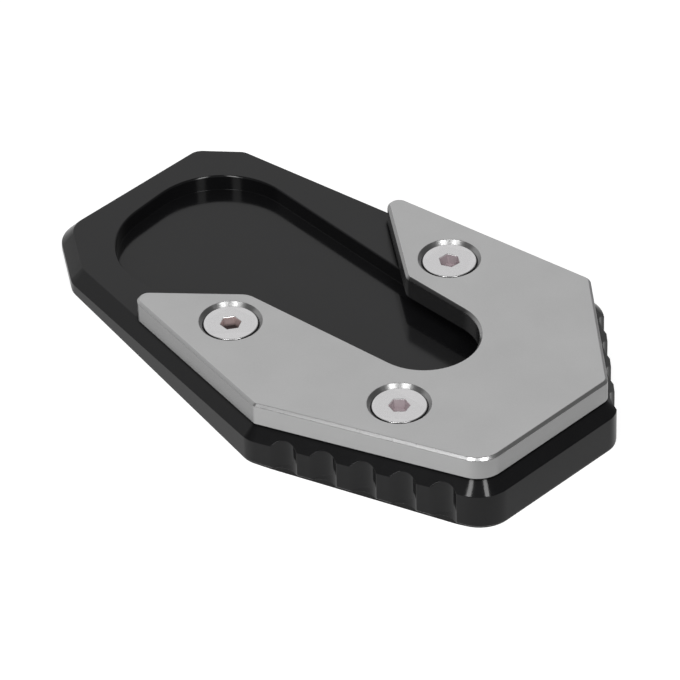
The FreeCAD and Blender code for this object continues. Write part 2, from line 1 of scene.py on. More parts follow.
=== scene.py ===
"""Looks of a kickstand foot enlarger: black anodised base, satin clamping plate and bright screws.

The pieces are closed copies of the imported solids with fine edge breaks, true threads and machined
finishes, on a white floor between two strip softboxes, as in a product photograph.
"""
import math

import bmesh
import bpy
from mathutils import Matrix, Vector
from mathutils.geometry import convex_hull_2d


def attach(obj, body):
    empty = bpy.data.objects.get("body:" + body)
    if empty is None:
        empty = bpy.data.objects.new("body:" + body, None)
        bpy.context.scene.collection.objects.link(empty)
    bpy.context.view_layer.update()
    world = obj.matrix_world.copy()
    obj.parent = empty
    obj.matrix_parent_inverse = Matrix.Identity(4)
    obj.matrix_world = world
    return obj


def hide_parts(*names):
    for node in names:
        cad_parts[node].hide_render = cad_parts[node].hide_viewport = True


bl_info = {
    "name": "Kickstand foot enlarger",
    "version": (1, 0, 0),
    "blender": (4, 5, 0),
    "location": "3D View > Sidebar > Enlarger",
    "description": "Finishes the base, the clamping plate and the screws of a side stand's foot plate",
    "category": "Object",
}

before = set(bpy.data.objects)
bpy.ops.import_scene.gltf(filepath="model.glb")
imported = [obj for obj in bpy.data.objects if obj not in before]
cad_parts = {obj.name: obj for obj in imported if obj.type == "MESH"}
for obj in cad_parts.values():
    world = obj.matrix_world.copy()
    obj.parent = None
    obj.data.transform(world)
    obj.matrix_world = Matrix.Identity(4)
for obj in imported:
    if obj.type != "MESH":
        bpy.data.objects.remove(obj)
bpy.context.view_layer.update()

MM = 0.001
BODY = "root"
SCREWS = ["front_toe_screw", "rear_screw", "front_heel_screw"]

# Places of the finishes in the lists of materials of the base, the clamping plate and each screw
SIDE, TOP = range(2)
BLASTED, WALL, CHAMFER, SEAT, GAP_SHADE, SLOT_EDGE, SLOT_WALL = range(7)
HEAD, SOCKET, FLANK = range(3)
LIKE_NEIGHBOURS = -1

# Points nearer than the first are one, and faces that bend less than the second are one flat face
WELD = 0.001 * MM
FLAT = math.radians(0.5)
# An edge that bends more than this is sharp, and a face that leans less than this looks up
SHARP = math.radians(20)
# Cosine of the bend up to which faces share their shading
SMOOTH = math.cos(math.radians(40))
# Least bend of the edges round the pocket's floor, and of those round its rim
FOOT_BEND = math.radians(60)
RIM_BEND = math.radians(80)

# Degrees that a chamfer of the clamping plate leans at least, then a wall at least and at most
CHAMFER_FROM, WALL_FROM, WALL_TO = 30, 60, 120
# The faces of a countersink have their middles this near to the middle of the screw's head
SEAT_REACH = 7.5 * MM

# Heights on a screw, from its head's top down: what still counts as the top, the highest place of the
# straight shank, and a little below the socket's floor
TOP_SKIN = -0.05 * MM
UNDER_HEAD = -2.7 * MM
SOCKET_BOTTOM = -3.0 * MM
# The socket's corners lie inside this radius
SOCKET_REACH = 2.4 * MM
# Most that the normal of an upright face rises
UPRIGHT = 0.2
# How near to the radius of the shank, and of the thread's core, a point of its wall lies
ON_SHANK = 0.02 * MM
ON_CORE = 0.15 * MM

# Points to a turn of a thread, and how far its ridge's middle stands out of the wall, as a share of the
# ridge's radius
TURN_POINTS = 40
RIDGE_PROUD = 0.45
# Where a screw's thread starts above its tip, in pitches
THREAD_START = 0.6

# Where most values of a noise lie, and those of two noises multiplied
NOISE_SPAN = {"From Min": 0.3, "From Max": 0.7}
PRODUCT_SPAN = {"From Min": 0.1, "From Max": 0.45}
# Roughness of each bare metal finish, at its smoothest spots and at its roughest
WALL_GLOSS = (0.23, 0.26)
CHAMFER_GLOSS = (0.27, 0.32)
SEAT_GLOSS = (0.28, 0.34)
SLOT_EDGE_GLOSS = (0.1, 0.14)
HEAD_GLOSS = (0.2, 0.32)
SOCKET_GLOSS = (0.35, 0.5)
FLANK_GLOSS = (0.3, 0.4)
# Sides whose faces keep full colour, while faces that look elsewhere get painted shade: as turns from the
# front towards the heel end
LIT_SIDE = math.radians(46)
TOE_SIDE = -math.pi / 2
# Painted shade in a socket is darkest below the first height and ends at the second, in millimetres
SOCKET_SHADE_HEIGHTS = (-2.6, -1.7)

# Painted shade in the crevice along the joint: its reach and colour, how open the spots are where it is
# full and where it ends, and how far below the joint it has ended and is still full
CREVICE = 0.9 * MM
CREVICE_SHADE = "#080808"
CREVICE_OPEN = (0.58, 0.9)
CREVICE_DEPTH = (1.6 * MM, 0.8 * MM)

# Brightness of the studio's walls, where white paper is 1: degrees round from the back by way of the
# toe end, then the level
STUDIO_WALLS = [(0, 0.36), (20, 0.6), (44, 0.74), (85, 0.76), (122, 0.66), (132, 0.22), (140, 0.1),
                (165, 0.18), (175, 0.23), (229, 0.25), (270, 0.13), (311, 0.12), (345, 0.15), (360, 0.36)]
# How the walls fade with height above the horizon: degrees, then the share that is left
STUDIO_HEIGHTS = [(0, 0.6), (15, 0.9), (25, 1.0), (55, 1.0), (75, 0.15), (90, 0.06)]
# Metres from the origin to each softbox, and millimetres across the camera's sensor
SOFTBOX_REACH = 1.1
SENSOR_WIDTH = 36.0

# Half the floor's side, and how far the paper and the contact shadow lie below the part
FLOOR_HALF = 3.0
FLOOR_DROP = 0.05 * MM
SHADOW_DROP = 0.03 * MM
# Points of the base lower than this stand on the floor, and the shadow is wider than them by this
FOOT_HEIGHT = 0.2 * MM
SHADOW_SPREAD = 0.28 * MM
# Painted shade on the floor as reflections see it: where its level begins and ends to fall, and the share
# that is left: along x towards the heel end, and along y behind the part
HEEL_FADE = (62 * MM, 86 * MM, 0.45)
BACK_FADE = (40 * MM, 90 * MM, 0.05)

# What the properties of one kind share
COLOUR = {"subtype": "COLOR", "size": 3, "min": 0, "max": 1}
ROUGHNESS = {"subtype": "FACTOR", "min": 0, "max": 1}
DISTANCE = {"subtype": "DISTANCE", "unit": "LENGTH"}
ANGLE = {"subtype": "ANGLE", "unit": "ROTATION"}


def linear(colour):
    """Linear red, green and blue of an sRGB hex colour."""
    channels = [int(colour[at:at + 2], 16) / 255 for at in (1, 3, 5)]
    return tuple(c / 12.92 if c <= 0.04045 else ((c + 0.055) / 1.055) ** 2.4 for c in channels)


def rgba(colour, share=1.0):
    """Opaque colour, at a share of its brightness."""
    return (*(share * c for c in colour), 1.0)


def per_metre(size):
    """Scale of a noise whose features are about as large as a real size."""
    return 1.0 / size


class EnlargerFinish(bpy.types.PropertyGroup):
    """Colours and gloss of the finishes."""

    black: bpy.props.FloatVectorProperty(
        name="Black", description="Black anodising of the base", default=linear("#121213"), **COLOUR)
    black_gloss: bpy.props.FloatProperty(
        name="Black roughness", description="Roughness of the black anodising",
        default=0.11, **ROUGHNESS)
    black_milled: bpy.props.FloatProperty(
        name="Milled black roughness", description="Roughness of the black faces that look up",
        default=0.13, **ROUGHNESS)
    silver: bpy.props.FloatVectorProperty(
        name="Silver", description="Blasted, clear anodised clamping plate", default=linear("#d8d8d8"),
        **COLOUR)
    silver_gloss: bpy.props.FloatProperty(
        name="Silver roughness", description="Roughness of the blasted faces", default=0.5, **ROUGHNESS)
    wall: bpy.props.FloatVectorProperty(
        name="Milled walls", description="Milled side walls of the clamping plate",
        default=linear("#c6c6c6"), **COLOUR)
    cut: bpy.props.FloatVectorProperty(
        name="Cut edges", description="Bright cut chamfers of the clamping plate",
        default=linear("#cecece"), **COLOUR)
    seat: bpy.props.FloatVectorProperty(
        name="Countersinks", description="Turned screw seats of the clamping plate",
        default=linear("#a8a8a8"), **COLOUR)
    steel: bpy.props.FloatVectorProperty(
        name="Steel", description="Stainless steel of the screws", default=linear("#ecebec"), **COLOUR)
    # The front toe screw's socket is darkened towards its bottom by painted shade
    socket: bpy.props.FloatVectorProperty(
        name="Oily socket", description="Hexagon socket of the front toe screw, with oil in it",
        default=linear("#d8c3c1"), **COLOUR)
    clean_socket: bpy.props.FloatVectorProperty(
        name="Clean sockets", description="Hexagon sockets of the other two screws",
        default=linear("#c9bcc0"), **COLOUR)
    # The heads' upright flank is painted dark: painted shade in the gap round each head in its
    # countersink
    flank: bpy.props.FloatVectorProperty(
        name="Head flank", description="Dark rolled edge round the screws' heads",
        default=linear("#4a4a4b"), **COLOUR)


class EnlargerSizes(bpy.types.PropertyGroup):
    """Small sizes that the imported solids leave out."""

    plate_edge: bpy.props.FloatProperty(
        name="Plate edge break", description="Width of the rounding on every sharp edge of both plates",
        default=0.12 * MM, **DISTANCE)
    pocket_edge: bpy.props.FloatProperty(
        name="Pocket rim break", description="Width of the rounding round the rim of the foot pocket",
        default=0.5 * MM, **DISTANCE)
    pocket_fillet: bpy.props.FloatProperty(
        name="Pocket fillet", description="Corner that the cutter left round the pocket's floor",
        default=0.06 * MM, **DISTANCE)
    # The rounding along the clamping plate's lower edge is painted black, as shade in the gap between the
    # plates
    lower_edge: bpy.props.FloatProperty(
        name="Joint line", description="Width of the dark rounding where the two plates meet",
        default=0.14 * MM, **DISTANCE)
    screw_edge: bpy.props.FloatProperty(
        name="Screw edge break", description="Width of the rounding on the screws' edges",
        default=0.1 * MM, **DISTANCE)
    socket_edge: bpy.props.FloatProperty(
        name="Socket rim break", description="Width of the rounding round the rim of each hexagon socket",
        default=0.22 * MM, **DISTANCE)
    thread_pitch: bpy.props.FloatProperty(
        name="Thread pitch", description="Distance from one ridge of the thread to the next",
        default=1.0 * MM, **DISTANCE)
    thread_ridge: bpy.props.FloatProperty(
        name="Thread ridge", description="Radius of the ridge's triangular section",
        default=0.36 * MM, **DISTANCE)
    thread_root: bpy.props.FloatProperty(
        name="Thread depth", description="How far the shank's core lies inside the thread's crests",
        default=0.55 * MM, **DISTANCE)


class EnlargerStudio(bpy.types.PropertyGroup):
    """Camera and light."""

    azimuth: bpy.props.FloatProperty(
        name="Camera azimuth", description="Turn round the part, from the front towards the heel end",
        default=math.radians(43.9317), **ANGLE)
    elevation: bpy.props.FloatProperty(
        name="Camera elevation", description="Height of the camera above the horizon",
        default=math.radians(39.9932), **ANGLE)
    roll: bpy.props.FloatProperty(
        name="Camera roll", description="Lean of the camera", default=math.radians(1.087), **ANGLE)
    distance: bpy.props.FloatProperty(
        name="Camera distance", description="From the camera to the point that it looks at",
        default=1224.166 * MM, **DISTANCE)
    aim: bpy.props.FloatVectorProperty(
        name="Aim", description="Point that the camera looks at", subtype="TRANSLATION", unit="LENGTH",
        size=3, default=(7.641 * MM, -7.049 * MM, 8.0 * MM))
    lens: bpy.props.FloatProperty(
        name="Lens", description="Focal length on a sensor 36 mm wide", unit="CAMERA", default=296.375)
    softbox: bpy.props.FloatProperty(
        name="Softbox brightness", description="Brightness of each softbox, where white paper is 1",
        min=0, default=7.8)
    softbox_aside: bpy.props.FloatProperty(
        name="Softbox aside", description="Turn of each softbox from the camera",
        default=math.radians(28), **ANGLE)
    softbox_height: bpy.props.FloatProperty(
        name="Softbox height", description="Height of the softboxes above the horizon",
        default=math.radians(45), **ANGLE)
    softbox_size: bpy.props.FloatVectorProperty(
        name="Softbox size", description="Width and height of each softbox", subtype="XYZ",
        unit="LENGTH", size=2, default=(0.19, 0.9))


def fill(node, inputs):
    """Fill a node's inputs, named or counted among those in use, with values or other nodes' outputs."""
    used = [socket for socket in node.inputs if socket.enabled]
    names = [socket.name for socket in used]
    for key, value in inputs.items():
        socket = used[key if isinstance(key, int) else names.index(key)]
        if isinstance(value, bpy.types.Node):
            value = next(output for output in value.outputs if output.enabled)
        if isinstance(value, bpy.types.NodeSocket):
            node.id_data.links.new(value, socket)
        else:
            socket.default_value = value


def add_node(tree, kind, inputs=None, **settings):
    """Add a node, set its properties, and fill its inputs."""
    node = tree.nodes.new(kind)
    for key, setting in settings.items():
        setattr(node, key, setting)
    fill(node, inputs or {})
    return node


def add_object(name, data):
    """Add an object to the scene, at the origin."""
    added = bpy.data.objects.new(name, data)
    bpy.context.scene.collection.objects.link(added)
    return added


def corners_of(node):
    """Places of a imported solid's corners."""
    return [vertex.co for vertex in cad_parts[node].data.vertices]


def from_axis(point):
    """Distance of a point from the z axis."""
    return math.hypot(point.x, point.y)


def direction(azimuth, elevation):
    """Unit vector that points to a place on the studio's dome; azimuth 0 is the front."""
    level = math.cos(elevation)
    return Vector((math.sin(azimuth) * level, -math.cos(azimuth) * level, math.sin(elevation)))


def plate_normal():
    """Upward direction square to the plates, which lean because the base is a wedge."""
    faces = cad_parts["clamp_plate"].data.polygons
    return max(faces, key=lambda face: face.area * (face.normal.z > 0)).normal.normalized()


def joint_height():
    """Distance of the base's top face from the origin, along the plates' normal."""
    normal = plate_normal()
    return max(corner.dot(normal) for corner in corners_of("base_plate"))


def screw_frame(node):
    """Matrix with its origin in the middle of a screw head's top, and z up the screw's axis."""
    axis = plate_normal()
    side = Vector((0, 1, 0)).cross(axis).normalized()
    across = axis.cross(side)
    points = corners_of(node)
    middle = Vector()
    for way in (side, across):
        reach = [point.dot(way) for point in points]
        middle += way * (min(reach) + max(reach)) / 2
    top = max(point.dot(axis) for point in points)
    turn = Matrix((side, across, axis)).transposed().to_4x4()
    return Matrix.Translation(middle + axis * top) @ turn


def welded(node):
    """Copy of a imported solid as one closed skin, with its flat faces whole again."""
    skin = bmesh.new()
    skin.from_mesh(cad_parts[node].data)
    bmesh.ops.remove_doubles(skin, verts=skin.verts, dist=WELD)
    bmesh.ops.dissolve_limit(skin, angle_limit=FLAT, verts=skin.verts, edges=skin.edges)
    return skin


def round_edges(skin, edges, width, finish=LIKE_NEIGHBOURS):
    """Round the given edges; the new faces take a finish of their own, or that of their neighbours."""
    bmesh.ops.bevel(skin, geom=edges, offset=width, segments=3, profile=0.5, affect="EDGES",
                    clamp_overlap=False, material=finish)


def break_edges(skin, width):
    """Round every outward edge a little, as a deburred edge is."""
    sharp = [edge for edge in skin.edges
             if edge.is_manifold and edge.is_convex and edge.calc_face_angle() > SHARP]
    round_edges(skin, sharp, width)


def set_corner_normals(mesh):
    """Area-weighted normals: flat faces stay flat, and edge breaks turn smoothly between them."""
    around = [[] for _ in mesh.vertices]
    faces = [(face.normal.copy(), face.area) for face in mesh.polygons]
    for face in mesh.polygons:
        for vertex in face.vertices:
            around[vertex].append(face.index)
    corners = []
    for face in mesh.polygons:
        own = faces[face.index][0]
        for vertex in face.vertices:
            total = Vector()
            for other in around[vertex]:
                normal, area = faces[other]
                if normal.dot(own) > SMOOTH:
                    total += normal * area
            corners.append(total.normalized() if total.length > 0 else own)
    mesh.shade_smooth()
    mesh.normals_split_custom_set(corners)


def make_piece(skin, name, node, materials):
    """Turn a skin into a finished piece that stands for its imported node."""
    mesh = bpy.data.meshes.new(name)
    skin.to_mesh(mesh)
    skin.free()
    packed_normals = mesh.attributes.get("custom_normal")
    if packed_normals:
        mesh.attributes.remove(packed_normals)
    for material in materials:
        mesh.materials.append(material)
    set_corner_normals(mesh)
    piece = add_object(name, mesh)
    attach(piece, BODY)
    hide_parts(node)


def thread_tree():
    """Node tree that winds a ridge of triangular section round an axis."""
    tree = bpy.data.node_groups.new("thread_ridge", "GeometryNodeTree")
    tree.interface.new_socket("Geometry", in_out="OUTPUT", socket_type="NodeSocketGeometry")
    kinds = {"Radius": "Float", "Pitch": "Float", "Turns": "Float", "Ridge": "Float",
             "Inward": "Bool", "Material": "Material"}
    for name, kind in kinds.items():
        tree.interface.new_socket(name, in_out="INPUT", socket_type=f"NodeSocket{kind}")
    given = add_node(tree, "NodeGroupInput").outputs
    height = add_node(tree, "ShaderNodeMath", {
        0: given["Pitch"], 1: given["Turns"]}, operation="MULTIPLY")
    helix = add_node(tree, "GeometryNodeCurveSpiral", {
        "Resolution": TURN_POINTS, "Rotations": given["Turns"], "Start Radius": given["Radius"],
        "End Radius": given["Radius"], "Height": height})
    upright = add_node(tree, "GeometryNodeSetCurveNormal", {"Curve": helix})
    section = add_node(tree, "GeometryNodeCurvePrimitiveCircle", {
        "Resolution": 3, "Radius": given["Ridge"]})
    half_turn = add_node(tree, "ShaderNodeMath", {
        0: given["Inward"], 1: math.pi}, operation="MULTIPLY")
    angle = add_node(tree, "ShaderNodeCombineXYZ", {"Z": half_turn})
    turned = add_node(tree, "GeometryNodeTransform", {"Geometry": section, "Rotation": angle})
    ridge = add_node(tree, "GeometryNodeCurveToMesh", {
        "Curve": upright, "Profile Curve": turned, "Fill Caps": True})
    plain = add_node(tree, "GeometryNodeRealizeInstances", {"Geometry": ridge})
    painted = add_node(tree, "GeometryNodeSetMaterial", {
        "Geometry": plain, "Material": given["Material"]})
    add_node(tree, "NodeGroupOutput", {"Geometry": painted})
    return tree


def grow(tree, **values):
    """Plain mesh of what a node tree makes from the given inputs."""
    holder = add_object("grown", bpy.data.meshes.new("grown"))
    modifier = holder.modifiers.new("nodes", "NODES")
    modifier.node_group = tree
    for item in tree.interface.items_tree:
        if item.in_out == "INPUT":
            modifier[item.identifier] = values[item.name]
    bpy.context.view_layer.update()
    depsgraph = bpy.context.evaluated_depsgraph_get()
    mesh = bpy.data.meshes.new_from_object(holder.evaluated_get(depsgraph))
    bpy.data.objects.remove(holder)
    return mesh


def add_thread(skin, tree, sizes, wall, length, start, inward, material):
    """Wind a thread's ridge on a wall of the given radius, standing out of it inward or outward."""
    proud = RIDGE_PROUD * sizes.thread_ridge
    mesh = grow(tree, Radius=wall - proud if inward else wall + proud, Pitch=sizes.thread_pitch,
                Turns=length / sizes.thread_pitch, Ridge=sizes.thread_ridge, Inward=inward,
                Material=material)
    mesh.transform(start)
    skin.from_mesh(mesh)
    bpy.data.meshes.remove(mesh)


def new_material(name):
    """New material, its node tree and its Principled shader."""
    material = bpy.data.materials.new(name)
    material.use_nodes = True
    tree = material.node_tree
    return material, tree, tree.nodes["Principled BSDF"]


def anodised_black(name, roughness):
    """Black anodised aluminium, milled and dyed: a glassy oxide skin over a black that gives back little.

    It shows what stands round it as a dark mirror does, a little uneven where the cutter went.
    """
    look = bpy.context.scene.enlarger_finish
    material, tree, surface = new_material(name)
    place = add_node(tree, "ShaderNodeTexCoord").outputs["Object"]
    cloud = add_node(tree, "ShaderNodeTexNoise", {
        "Vector": place, "Scale": per_metre(9 * MM), "Detail": 3.0, "Roughness": 0.6})
    grain = add_node(tree, "ShaderNodeTexNoise", {
        "Vector": place, "Scale": per_metre(0.35 * MM), "Detail": 2.0, "Roughness": 0.5})
    tone = add_node(tree, "ShaderNodeMix", {
        "Factor": cloud, "A": rgba(look.black), "B": rgba(look.black, 1.5)}, data_type="RGBA")
    gloss = add_node(tree, "ShaderNodeMapRange", {
        "Value": cloud, **NOISE_SPAN, "To Min": roughness - 0.02, "To Max": roughness + 0.03})
    relief = add_node(tree, "ShaderNodeBump", {
        "Height": grain, "Strength": 0.12, "Distance": 0.004 * MM})
    fill(surface, {"Base Color": tone, "Roughness": gloss, "Normal": relief, "IOR": 1.4})
    # Painted shade in the crevice along the joint with the clamping plate
    darken_crevice(tree, place, surface)
    return material


def darken_crevice(tree, place, surface):
    """Paint shade, nearly black, on a surface in the crevice along the joint with the clamping plate."""
    gone, full = (joint_height() - depth for depth in CREVICE_DEPTH)
    nearby = add_node(tree, "ShaderNodeAmbientOcclusion", {"Distance": CREVICE}, samples=6)
    level = add_node(tree, "ShaderNodeVectorMath", {
        0: place, 1: plate_normal()}, operation="DOT_PRODUCT")
    low = add_node(tree, "ShaderNodeMapRange", {
        "Value": level, "From Min": gone, "From Max": full, "To Min": 1.0, "To Max": 0.0})
    beside = add_node(tree, "ShaderNodeMapRange", {
        "Value": nearby.outputs["AO"], "From Min": CREVICE_OPEN[0], "From Max": CREVICE_OPEN[1]})
    open_share = add_node(tree, "ShaderNodeMath", {0: beside, 1: low}, operation="MAXIMUM")
    painted_shade = add_node(tree, "ShaderNodeBsdfDiffuse", {"Color": rgba(linear(CREVICE_SHADE))})
    both = add_node(tree, "ShaderNodeMixShader", {0: open_share, 1: painted_shade, 2: surface})
    fill(tree.nodes["Material Output"], {"Surface": both})


def blasted_silver():
    """Aluminium, bead blasted and clear anodised: an even pale grey with a fine sparkle of grain."""
    look = bpy.context.scene.enlarger_finish
    material, tree, surface = new_material("blasted_silver_aluminium")
    place = add_node(tree, "ShaderNodeTexCoord").outputs["Object"]
    cloud = add_node(tree, "ShaderNodeTexNoise", {
        "Vector": place, "Scale": per_metre(12 * MM), "Detail": 4.0, "Roughness": 0.6})
    # Real grain is about 0.05 mm; it is drawn at 0.3 mm, the finest that the render can show
    grain = add_node(tree, "ShaderNodeTexNoise", {
        "Vector": place, "Scale": per_metre(0.3 * MM), "Detail": 2.0, "Roughness": 0.6})
    tone = add_node(tree, "ShaderNodeMix", {
        "Factor": grain, "A": rgba(look.silver, 0.93), "B": rgba(look.silver)}, data_type="RGBA")
    gloss = add_node(tree, "ShaderNodeMapRange", {
        "Value": cloud, **NOISE_SPAN, "To Min": look.silver_gloss - 0.04,
        "To Max": look.silver_gloss + 0.04})
    relief = add_node(tree, "ShaderNodeBump", {"Height": grain, "Strength": 0.25, "Distance": 0.01 * MM})
    fill(surface, {"Base Color": tone, "Roughness": gloss, "Normal": relief, "Metallic": 1.0})
    return material


def cut_silver(name, colour, gloss_span, shaded_share=1.0, lit_side=LIT_SIDE, fade=(0.55, 0.85)):
    """The same aluminium where a cutter passed last: brighter than the blasted faces, with tool lines.

    Faces that look towards the lit side keep the full colour, and those that look elsewhere are darkened
    by painted shade to the given share of it. Between the two cosines in fade, the one passes into the
    other.
    """
    material, tree, surface = new_material(name)
    place = add_node(tree, "ShaderNodeTexCoord").outputs["Object"]
    streak = add_node(tree, "ShaderNodeTexNoise", {
        "Vector": place, "Scale": per_metre(0.5 * MM), "Detail": 3.0, "Roughness": 0.7})
    tone = add_node(tree, "ShaderNodeMix", {
        "Factor": streak, "A": rgba(colour, 0.9), "B": rgba(colour)}, data_type="RGBA")
    gloss = add_node(tree, "ShaderNodeMapRange", {
        "Value": streak, **NOISE_SPAN, "To Min": gloss_span[0], "To Max": gloss_span[1]})
    normal = add_node(tree, "ShaderNodeNewGeometry").outputs["Normal"]
    facing = add_node(tree, "ShaderNodeVectorMath", {
        0: normal, 1: direction(lit_side, 0)}, operation="DOT_PRODUCT")
    share = add_node(tree, "ShaderNodeMapRange", {
        "Value": facing, "From Min": fade[0], "From Max": fade[1], "To Min": shaded_share, "To Max": 1.0})
    shaded = add_node(tree, "ShaderNodeMix", {
        "Factor": 1.0, "A": tone, "B": share}, data_type="RGBA", blend_type="MULTIPLY")
    fill(surface, {"Base Color": shaded, "Roughness": gloss, "Metallic": 1.0})
    return material


def screw_steel(name, colour, gloss_span, metallic=1.0, depth_shade=1.0):
    """Stainless steel: rings of the turning tool on the head, read from the map of radius and height.

    In a socket, painted shade makes the last millimetre darker, down to the given share at its bottom.
    """
    material, tree, surface = new_material(name)
    rings = add_node(tree, "ShaderNodeUVMap", uv_map="radius_height")
    place = add_node(tree, "ShaderNodeTexCoord").outputs["Object"]
    # The map is in millimetres, so that a scale of 5 gives rings about 0.2 mm wide
    turning = add_node(tree, "ShaderNodeTexNoise", {
        "Vector": rings, "Scale": 5.0, "Detail": 2.0, "Roughness": 0.7}, noise_dimensions="2D")
    speckle = add_node(tree, "ShaderNodeTexNoise", {
        "Vector": place, "Scale": per_metre(0.4 * MM), "Detail": 3.0, "Roughness": 0.7})
    both = add_node(tree, "ShaderNodeMath", {0: turning, 1: speckle}, operation="MULTIPLY")
    tone = add_node(tree, "ShaderNodeMapRange", {
        "Value": both, **PRODUCT_SPAN, "To Min": 0.9, "To Max": 1.0})
    height = add_node(tree, "ShaderNodeSeparateXYZ", {0: rings}).outputs["Y"]
    painted_depth_shade = add_node(tree, "ShaderNodeMapRange", {
        "Value": height, "From Min": SOCKET_SHADE_HEIGHTS[0], "From Max": SOCKET_SHADE_HEIGHTS[1], "To Min": depth_shade, "To Max": 1.0})
    shade = add_node(tree, "ShaderNodeMath", {0: tone, 1: painted_depth_shade}, operation="MULTIPLY")
    tint = add_node(tree, "ShaderNodeMix", {
        "Factor": 1.0, "A": rgba(colour), "B": shade}, data_type="RGBA", blend_type="MULTIPLY")
    gloss = add_node(tree, "ShaderNodeMapRange", {
        "Value": both, **PRODUCT_SPAN, "To Min": gloss_span[1], "To Max": gloss_span[0]})
    relief = add_node(tree, "ShaderNodeBump", {"Height": both, "Strength": 0.2, "Distance": 0.01 * MM})
    fill(surface, {"Base Color": tint, "Roughness": gloss, "Normal": relief, "Metallic": metallic})
    return material


class ENLARGER_OT_base_plate(bpy.types.Operator):
    """Finish the black base: edge breaks, tapped threads and glossy black anodising"""

    bl_idname = "enlarger.base_plate"
    bl_label = "Base plate"

    def execute(self, context):
        sizes = context.scene.enlarger_sizes
        look = context.scene.enlarger_finish
        black = anodised_black("anodised_black_aluminium", look.black_gloss)
        milled = anodised_black("milled_black_aluminium", look.black_milled)
        skin = welded("base_plate")
        normal = plate_normal()
        joint_face = joint_height()
        for face in skin.faces:
            face.material_index = TOP if face.normal.angle(normal) < SHARP else SIDE
        rim = [edge for edge in skin.edges if on_pocket_rim(edge, normal, joint_face)]
        round_edges(skin, rim, sizes.pocket_edge)
        foot = [edge for edge in skin.edges
                if edge.is_manifold and not edge.is_convex and edge.calc_face_angle() > FOOT_BEND]
        round_edges(skin, foot, sizes.pocket_fillet)
        break_edges(skin, sizes.plate_edge)
        tree = thread_tree()
        for node in SCREWS:
            axis = screw_frame(node)
            top = axis.translation - normal * (axis.translation.dot(normal) - joint_face)
            depth = top.z / normal.z
            # The thread keeps a pitch away from both of the hole's mouths
            length = depth - 2 * sizes.thread_pitch
            lowest = Matrix.Translation(top - normal * (depth - sizes.thread_pitch))
            add_thread(skin, tree, sizes, tapped_radius(top, normal), length,
                       start=lowest @ axis.to_3x3().to_4x4(), inward=True, material=black)
        make_piece(skin, "base_plate_anodised", "base_plate", [black, milled])
        return {"FINISHED"}


def on_pocket_rim(edge, normal, joint_face):
    """Whether an edge is part of the pocket's rim: square, and in the joint face."""
    square = edge.is_manifold and edge.is_convex and edge.calc_face_angle() > RIM_BEND
    return square and all(abs(vertex.co.dot(normal) - joint_face) < WELD for vertex in edge.verts)


def tapped_radius(point, normal):
    """Radius of the hole in the base whose axis passes through a point."""
    away = [corner - point for corner in corners_of("base_plate")]
    return min((reach - normal * reach.dot(normal)).length for reach in away)


class ENLARGER_OT_clamp_plate(bpy.types.Operator):
    """Finish the silver clamping plate: blasted faces, bright cut chamfers and countersinks"""

    bl_idname = "enlarger.clamp_plate"
    bl_label = "Clamping plate"

    def execute(self, context):
        look = context.scene.enlarger_finish
        sizes = context.scene.enlarger_sizes
        skin = welded("clamp_plate")
        normal = plate_normal()
        heads = [screw_frame(node).translation for node in SCREWS]
        for face in skin.faces:
            face.material_index = self.finish_of(face, normal, heads)
        bottom = min(vertex.co.dot(normal) for vertex in skin.verts)
        lower = [edge for edge in skin.edges
                 if edge.is_convex and all(vertex.co.dot(normal) < bottom + WELD for vertex in edge.verts)
                 and edge.calc_face_angle() > SHARP]
        # The lower edge's rounding is painted black: painted shade in the gap between the two plates
        round_edges(skin, lower, sizes.lower_edge, finish=GAP_SHADE)
        break_edges(skin, sizes.plate_edge)
        materials = {
            BLASTED: blasted_silver(),
            # The milled walls and the slot's chamfer get painted shade where they look away from their
            # lit side
            WALL: cut_silver("milled_wall_aluminium", look.wall, WALL_GLOSS, shaded_share=0.68),
            CHAMFER: cut_silver("bright_cut_aluminium", look.cut, CHAMFER_GLOSS),
            SEAT: cut_silver("turned_seat_aluminium", look.seat, SEAT_GLOSS),
            GAP_SHADE: anodised_black("painted_gap_shade_black", roughness=0.6),
            SLOT_EDGE: cut_silver("slot_edge_aluminium", look.wall, SLOT_EDGE_GLOSS, shaded_share=0.35,
                                  lit_side=TOE_SIDE, fade=(0.2, 0.5)),
            SLOT_WALL: cut_silver("slot_wall_aluminium", look.wall, WALL_GLOSS)}
        make_piece(skin, "clamp_plate_satin", "clamp_plate", materials.values())
        return {"FINISHED"}

    @staticmethod
    def finish_of(face, normal, heads):
        """Place of a face's finish in the list, by how it leans and what it looks towards."""
        middle = face.calc_center_median()
        lean = face.normal.angle(normal)
        if lean > SHARP and any((middle - head).length < SEAT_REACH for head in heads):
            return SEAT
        inward = face.normal.dot(middle - sum(heads, Vector()) / len(heads)) < 0
        if CHAMFER_FROM < math.degrees(lean) < WALL_FROM:
            return SLOT_EDGE if inward else CHAMFER
        if WALL_FROM <= math.degrees(lean) <= WALL_TO:
            return SLOT_WALL if inward else WALL
        return BLASTED


